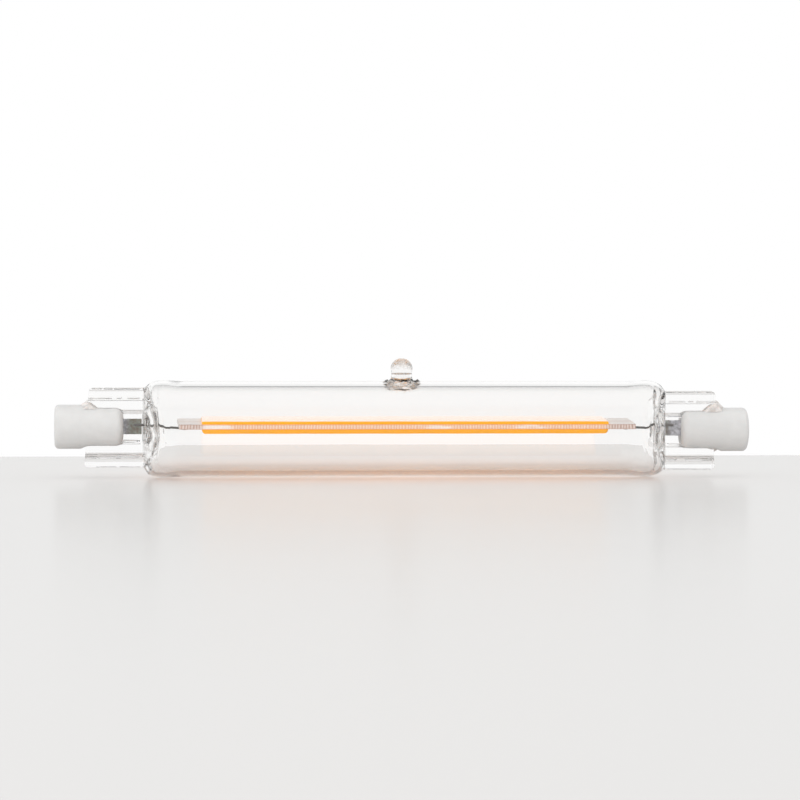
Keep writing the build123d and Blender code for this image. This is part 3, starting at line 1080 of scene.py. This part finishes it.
class BuildStrip(bpy.types.Operator):
    """Build the strip's coatings, and finish the strip, its chips and its pads."""
    bl_idname = "strip_lamp.strip"
    bl_label = "Light strip"

    def execute(self, context):
        strip = settings().strip
        half = strip.thickness / 2
        coating = phosphor_coating()
        ends = tuple(strip.coat_end)
        # Name, inner and outer face, rounding, and seed of the uneven sides
        levels = (
            ("upper", half, half + strip.upper, 0.0001, 3),
            ("lower", -half, -half - strip.lower, 0.0004, 5))
        for level, *slab in levels:
            piece = coating_slab(f"coating_{level}", coating, ends, strip.coat_width, *slab)
            piece.visible_shadow = False
            settle(piece, "phosphor", f"phosphor_{level}")
        dress_node("strip_substrate", bare_strip(), 0.00004)
        dress_node("led_chips", chip_face())
        pad = drawn_metal("plated pad", (0.72, 0.66, 0.55), 0.25, 0.3)
        for side in SIDES:
            dress_node(f"terminal_pad_{side}", pad, 0.00001)
        return {"FINISHED"}


# Leads, foils and solder

def route_tube(name, route, radius, material):
    """Round wire along a smooth curve through a few control points."""
    curve = bpy.data.curves.new(name, "CURVE")
    curve.dimensions = "3D"
    spline = curve.splines.new("NURBS")
    spline.points.add(len(route) - 1)
    for point, place in zip(spline.points, route):
        point.co = (*place, 1.0)
    spline.order_u = 3
    spline.use_endpoint_u = True
    spline.resolution_u = 12
    curve.bevel_depth = radius
    curve.bevel_resolution = 6
    curve.use_fill_caps = True
    curve.materials.append(material)
    return linked(name, curve)


class BuildLeads(bpy.types.Operator):
    """Build the inner leads, their solder and the sealed foils, and finish the outer leads."""
    bl_idname = "strip_lamp.leads"
    bl_label = "Leads and foils"

    def execute(self, context):
        wire = drawn_metal("inner lead", shade_of("wire"), 0.3, 0.05)
        foil = sealed_foil()
        solder = bright_solder()
        outer = drawn_metal("outer lead", (0.42, 0.40, 0.38), 0.35, 0.05)
        for side in SIDES:
            self.lead(side, wire)
            self.foil(side, foil)
            self.drop(side, solder)
            dress_node(f"outer_lead_{side}", outer)
        return {"FINISHED"}

    def lead(self, side, material):
        """Inner lead from the pad to its weld on the foil."""
        low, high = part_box(f"inner_lead_{side}")
        sizes = settings().envelope
        index = INDEX[side]
        shoulder = sizes.shoulder[index]
        depth = (low.y + high.y) / 2
        radius = 0.0002
        start = min(abs(low.x), abs(high.x))
        end = max(abs(low.x), abs(high.x))
        entry_back, entry_rise, weld_rise = ((0.0021, 0.00045, 0.0007), (0.0034, 0.00013, 0.00062))[index]
        base = low.z + radius
        axis = sizes.axis_height
        if side == "right":
            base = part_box("solder_right")[0].z + 0.0004
        strip_end = settings().strip.end[index]
        climb = axis + entry_rise - base
        places = (
            (start, base), (strip_end - 0.0008, base), (strip_end + 0.0001, base),
            (strip_end + 0.0006, base + 0.15 * climb),
            (shoulder - entry_back - 0.0005, base + 0.88 * climb), (shoulder - entry_back, axis + entry_rise),
            (shoulder - 0.0006, axis + weld_rise), (shoulder + 0.0006, axis + weld_rise),
            (end, axis + weld_rise),
        )
        route = [(SIDES[side] * x, depth, z) for x, z in places]
        settle(route_tube(f"lead_{side}", route, radius, material), "lead_wire", f"inner_lead_{side}")

    def foil(self, side, material):
        """Thin foil with feathered long edges and slight ripples."""
        low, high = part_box(f"seal_foil_{side}")
        columns, rows = 90, 30
        rng = np.random.default_rng(11 + INDEX[side])
        phase = rng.uniform(0, 6.28, 6)
        points, faces = [], []
        middle = (low.y + high.y) / 2
        half_thick = (high.y - low.y) / 2
        for face in (-1.0, 1.0):
            for column in range(columns + 1):
                x = low.x + (high.x - low.x) * column / columns
                for row in range(rows + 1):
                    share = 2 * row / rows - 1
                    half = (high.z - low.z) / 2
                    edge = 1 + 0.012 * math.sin(x * 5200 + phase[0]) * abs(share) ** 6
                    z = (low.z + high.z) / 2 + half * share * min(1.0, edge)
                    waves = math.sin(x * 2600 + phase[1] + share) + math.sin(x * 900 + 3 * share + phase[2])
                    ripple = 0.000012 * waves
                    thick = half_thick * (1 - 0.8 * abs(share) ** 4)
                    points.append((x, middle + face * thick + ripple * (1 - share * share), z))
        count = (columns + 1) * (rows + 1)
        for column in range(columns):
            for row in range(rows):
                a = column * (rows + 1) + row
                b = a + rows + 1
                faces.append((a, b, b + 1, a + 1))
                faces.append((count + a, count + a + 1, count + b + 1, count + b))
        rim = [column * (rows + 1) for column in range(columns + 1)]
        rim += [columns * (rows + 1) + row for row in range(1, rows + 1)]
        rim += [column * (rows + 1) + rows for column in range(columns - 1, -1, -1)]
        rim += [row for row in range(rows - 1, 0, -1)]
        for step, here in enumerate(rim):
            there = rim[(step + 1) % len(rim)]
            faces.append((here, there, count + there, count + here))
        ribbon = mesh_object(f"foil_{side}", points, faces, material, 60.0)
        ribbon.visible_glossy = False
        settle(ribbon, "seal_foil", f"seal_foil_{side}")

    def drop(self, side, material):
        """Set drop of solder around the lead's end."""
        low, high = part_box(f"solder_{side}")
        pad = -(settings().strip.thickness / 2 + 0.00005)
        middle = (low.x + high.x) / 2
        radius = (high.x - low.x) / 2
        deep = 0.00062
        points = []
        steps, rings = 40, 12
        for ring in range(rings + 1):
            turned = math.pi / 2 * ring / rings
            for step in range(steps):
                turn = 2 * math.pi * step / steps
                flow = 1 + 0.05 * math.sin(2 * turn + 0.6) + 0.03 * math.sin(5 * turn)
                away = radius * 0.96 * math.sin(turned) ** 0.9 * flow if ring else 0.0
                x = middle + away * math.cos(turn)
                points.append(on_strip(x, away * 0.94 * math.sin(turn), pad - deep * math.cos(turned) ** 1.2))
        faces = ring_walls(rings + 1, steps)
        faces.append(tuple(range(rings * steps, rings * steps + steps)))
        settle(mesh_object(f"solder_drop_{side}", points, faces, material), "solder", f"solder_{side}")


# Caps, contacts and cement

# Depths from a cap's end face in metres, and the seat's from the bottom of the recess
NECK = 0.0043
RECESS_DEPTH = 0.0022
SEAT_DEPTH = 0.0009
LEAD_HOLE_DEPTH = 0.0053


def cap_profile(cap):
    """Outline of the cap's round body, from its fork's mouth to its end face."""
    mouth = cap.end - cap.length
    edge, fork_edge = 0.0007, 0.0013
    taper = cap.end - NECK
    profile = arc((mouth + fork_edge, cap.fork_radius - fork_edge), fork_edge, 180, 90, 12)
    for step in range(1, 10):
        share = step / 10
        eased = share * share * (3 - 2 * share)
        profile.append((taper - 0.0014 * (1 - share), cap.fork_radius + (cap.radius - cap.fork_radius) * eased))
    profile.append((taper, cap.radius))
    profile.append(((taper + cap.end - edge) / 2, cap.radius))
    profile += arc((cap.end - edge, cap.radius - edge), edge, 90, 0, 10)
    return profile


def slot_cutter(cap):
    """Prism of the fork's slot with its round bottom."""
    radius = cap.slot / 2
    centre = cap.end - NECK - radius
    mouth = cap.end - cap.length - 0.002
    outline = [(mouth, -radius)] + arc((centre, 0.0), radius, -90, 90, 36) + [(mouth, radius)]
    count = len(outline)
    points = [(x, y, z) for z in (-0.006, 0.006) for x, y in outline]
    faces = [tuple(range(count)), tuple(range(count, 2 * count))] + ring_walls(2, count)
    return closed_mesh("slot cutter", points, faces)


def at_cap(side, x, y, z):
    """A point of a cap built around the X axis, moved to its own end of the lamp."""
    height = settings().envelope.axis_height + settings().cap.rise[INDEX[side]]
    return x * SIDES[side], y, z + height


class BuildCaps(bpy.types.Operator):
    """Build the ceramic caps and their contacts."""
    bl_idname = "strip_lamp.caps"
    bl_label = "Caps and contacts"

    def execute(self, context):
        ceramic = white_ceramic()
        metal = contact_face()
        for side in SIDES:
            self.cap(side, ceramic)
            self.contact(side, metal)
        return {"FINISHED"}

    def cap(self, side, material):
        """One cap: turned body, cut by the slot, the recess, the seat and the lead's hole."""
        cap = settings().cap
        points, faces = spin(cap_profile(cap), 160)
        piece = closed_mesh(f"ceramic_cap_{side}", points, faces)
        recess_floor = cap.end - RECESS_DEPTH
        holes = (
            (recess_floor, cap.recess_radius, 96), (recess_floor - SEAT_DEPTH, cap.contact_radius, 96),
            (cap.end - LEAD_HOLE_DEPTH, 0.0004, 40))
        cutters = [slot_cutter(cap)]
        for floor, radius, steps in holes:
            hole_points, hole_faces = spin([(floor, radius), (cap.end + 0.002, radius)], steps, start=0.013)
            cutters.append(closed_mesh("hole cutter", hole_points, hole_faces))
        for tool in cutters:
            cut = piece.modifiers.new("cut", "BOOLEAN")
            cut.operation = "DIFFERENCE"
            cut.solver = "EXACT"
            cut.object = tool
        rounded(piece, 0.00014, 3, 35)
        baked(piece)
        for tool in cutters:
            bpy.data.objects.remove(tool)
        for vertex in piece.data.vertices:
            vertex.co = at_cap(side, *vertex.co)
        outward(piece.data)
        settle(painted(smoothed(piece, 32), material), "white_ceramic", f"cap_{side}")

    def contact(self, side, material):
        """Domed contact button with a rounded rim."""
        cap = settings().cap
        floor = cap.end - RECESS_DEPTH - SEAT_DEPTH
        rim = floor + 0.00045
        radius = cap.contact_radius
        profile = [(floor, radius), (rim, radius)]
        profile += arc((rim, radius - 0.00012), 0.00012, 90, 30, 4)[1:]
        start_x, start_r = profile[-1]
        crown = cap.end - RECESS_DEPTH
        for step in range(1, 13):
            share = step / 13
            profile.append((start_x + (crown - start_x) * math.sin(share * math.pi / 2), start_r * (1 - share)))
        points, faces = spin(profile, 96)
        placed = [at_cap(side, *point) for point in points]
        piece = mesh_object(f"contact_button_{side}", placed, faces, material)
        settle(piece, "contact_metal", f"contact_{side}")


class BuildCement(bpy.types.Operator):
    """Turn the cement's plain solids into set, lumpy cement."""
    bl_idname = "strip_lamp.cement"
    bl_label = "Cement"

    def execute(self, context):
        material = lamp_cement()
        lumps = bpy.data.textures.new("cement lumps", "CLOUDS")
        lumps.noise_scale = 0.0011
        lumps.noise_depth = 3
        for side in SIDES:
            node = f"cement_{side}"
            piece = linked(f"set_cement_{side}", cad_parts[node].data.copy())
            outward(piece.data)
            voxels = piece.modifiers.new("voxels", "REMESH")
            voxels.mode = "VOXEL"
            voxels.voxel_size = 0.00011
            flow = piece.modifiers.new("flow", "SMOOTH")
            flow.factor = 0.5
            flow.iterations = 3
            relief = piece.modifiers.new("relief", "DISPLACE")
            relief.texture = lumps
            relief.strength = 0.0001
            relief.mid_level = 0.6
            baked(piece)
            piece.data.shade_smooth()
            settle(painted(piece, material), "cement", node)
        return {"FINISHED"}


# Stage

def studio_world():
    """White backdrop behind the lamp, greyer overhead and in the room, as glass and gloss see it."""
    world = bpy.data.worlds.new("studio")
    bpy.context.scene.world = world
    world.use_nodes = True
    graph = Graph(world.node_tree)
    direction = graph.node("ShaderNodeTexCoord", output="Generated")
    split = graph.node("ShaderNodeSeparateXYZ", inputs={0: direction})
    sideways, back, up = split.out("X"), split.out("Y"), split.out("Z")
    wide = 1.0 - 0.45 * abs(sideways).above(0.82, 0.99)
    backdrop = back.above(-0.15, 0.2) * wide * (1.0 - up.above(0.56, 0.68))
    ceiling = up.above(0.8, 0.95)
    window = (1.0 - back.above(-0.75, -0.35)) * (1.0 - abs(sideways + 0.3).above(0.25, 0.5))
    room = 0.33 + 0.45 * ceiling + 0.3 * window * up.above(0.5, 0.7)
    seen = room + (1.0 - room) * backdrop
    path = graph.node("ShaderNodeLightPath")
    glossy = path.out("Is Glossy Ray")
    mirrored = glossy.math("MAXIMUM", glossy, path.out("Is Transmission Ray"))
    share = mirrored * (1.0 - path.out("Diffuse Depth").above(0.0, 0.5))
    light = graph.mix(share, (1.0, 1.0, 1.0), graph.mix(seen, (0.0, 0.0, 0.0), (1.0, 1.0, 1.0)))
    background = world.node_tree.nodes["Background"]
    graph.feed(background.inputs["Color"], light)
    graph.feed(background.inputs["Strength"], 1.0)


def table_top():
    """Pale glossy board that ends behind the lamp."""
    def inputs(g):
        shade = shade_of("floor")
        cloud = g.noise(9.0, 3.0)
        grain = g.noise(1500.0, 2.0)
        return {
            "Base Color": g.vary(cloud, shade, 0.985, 1.01),
            "Roughness": 0.2 + 0.05 * cloud,
            "Specular IOR Level": 0.25,
            "Normal": g.bump(grain, 0.00001, 0.05),
        }
    far, near, half = 0.061, -1.6, 1.5
    mesh = bpy.data.meshes.new("table")
    corners = [(-half, near, 0), (half, near, 0), (half, far, 0), (-half, far, 0)]
    mesh.from_pydata(corners, [], [(0, 1, 2, 3)])
    painted(linked("table", mesh), finish("glossy board", inputs))


def soft_box(name, place, target, size, power, shade=(1.0, 1.0, 1.0)):
    """A soft rectangular light that glass and gloss don't mirror."""
    light = bpy.data.lights.new(name, "AREA")
    light.shape = "RECTANGLE"
    light.size, light.size_y = size
    light.energy = power
    light.color = shade
    lamp = linked(name, light)
    lamp.location = place
    lamp.visible_glossy = False
    lamp.visible_transmission = False
    lamp.rotation_euler = (Vector(target) - Vector(place)).to_track_quat("-Z", "Y").to_euler()


class BuildStage(bpy.types.Operator):
    """Build the table, the white surroundings, the soft light and the camera."""
    bl_idname = "strip_lamp.stage"
    bl_label = "Stage and camera"

    def execute(self, context):
        studio_world()
        table_top()
        axis = settings().envelope.axis_height
        soft_box("key", (-0.45, -0.35, 0.45), (0, 0, axis), (0.5, 0.3), 0.15)
        soft_box("fill", (-0.3, -0.7, 0.06), (0, 0, axis), (0.6, 0.2), 2.3)
        under = axis + settings().strip.rise - 0.0017
        soft_box(
            "glow under the strip", (0, 0.0004, under), (0, 0.0009, 0), (0.068, 0.006),
            0.009, (1.0, 0.42, 0.18))
        camera = bpy.data.cameras.new("camera")
        viewer = linked("camera", camera)
        turn, rise, roll = math.radians(4.4), math.radians(2.9), math.radians(0.151)
        distance = 0.530
        off_centre = Vector((-0.00026, 0.0, 0.00491))
        back = Vector((-math.sin(turn) * math.cos(rise), -math.cos(turn) * math.cos(rise), math.sin(rise)))
        middle = Vector((settings().envelope.tip_offset, 0.0, axis))
        viewer.location = middle + back * distance
        aim = (middle + off_centre - viewer.location).to_track_quat("-Z", "Y")
        viewer.rotation_euler = (aim @ Quaternion((0.0, 0.0, 1.0), roll)).to_euler()
        camera.lens = 139.35
        camera.sensor_width = 36.0
        camera.clip_start, camera.clip_end = 0.01, 20.0
        context.scene.camera = viewer
        context.scene.view_settings.view_transform = "Standard"
        # Light turns many times inside pressed glass before it leaves
        context.scene.cycles.max_bounces = 32
        context.scene.cycles.glossy_bounces = 16
        context.scene.cycles.transmission_bounces = 24
        return {"FINISHED"}


class LampPanel(bpy.types.Panel):
    """Lists the lamp's sizes, colours and build steps."""
    bl_idname = "STRIPLAMP_PT_build"
    bl_label = "Linear strip lamp"
    bl_space_type = "VIEW_3D"
    bl_region_type = "UI"
    bl_category = "Lamp"

    def draw(self, context):
        for group in (settings().envelope, settings().strip, settings().cap, settings().colours):
            box = self.layout.box()
            for name in group.__annotations__:
                box.prop(group, name)
        for operator in OPERATORS:
            self.layout.operator(operator.bl_idname)


GROUPS = (EnvelopeSizes, StripSizes, CapSizes, LampColours, LampSettings)
OPERATORS = (BuildEnvelope, BuildStrip, BuildLeads, BuildCaps, BuildCement, BuildStage)


def register():
    """Register the lamp's settings, operators and panel."""
    for kind in (*GROUPS, *OPERATORS, LampPanel):
        bpy.utils.register_class(kind)
    bpy.types.Scene.strip_lamp = PointerProperty(type=LampSettings)


def unregister():
    """Take the lamp's settings, operators and panel away."""
    del bpy.types.Scene.strip_lamp
    for kind in reversed((*GROUPS, *OPERATORS, LampPanel)):
        bpy.utils.unregister_class(kind)


def main():
    """Build the whole lamp on its stage."""
    register()
    bpy.ops.strip_lamp.envelope()
    bpy.ops.strip_lamp.strip()
    bpy.ops.strip_lamp.leads()
    bpy.ops.strip_lamp.caps()
    bpy.ops.strip_lamp.cement()
    bpy.ops.strip_lamp.stage()


if __name__ == "__main__":
    main()
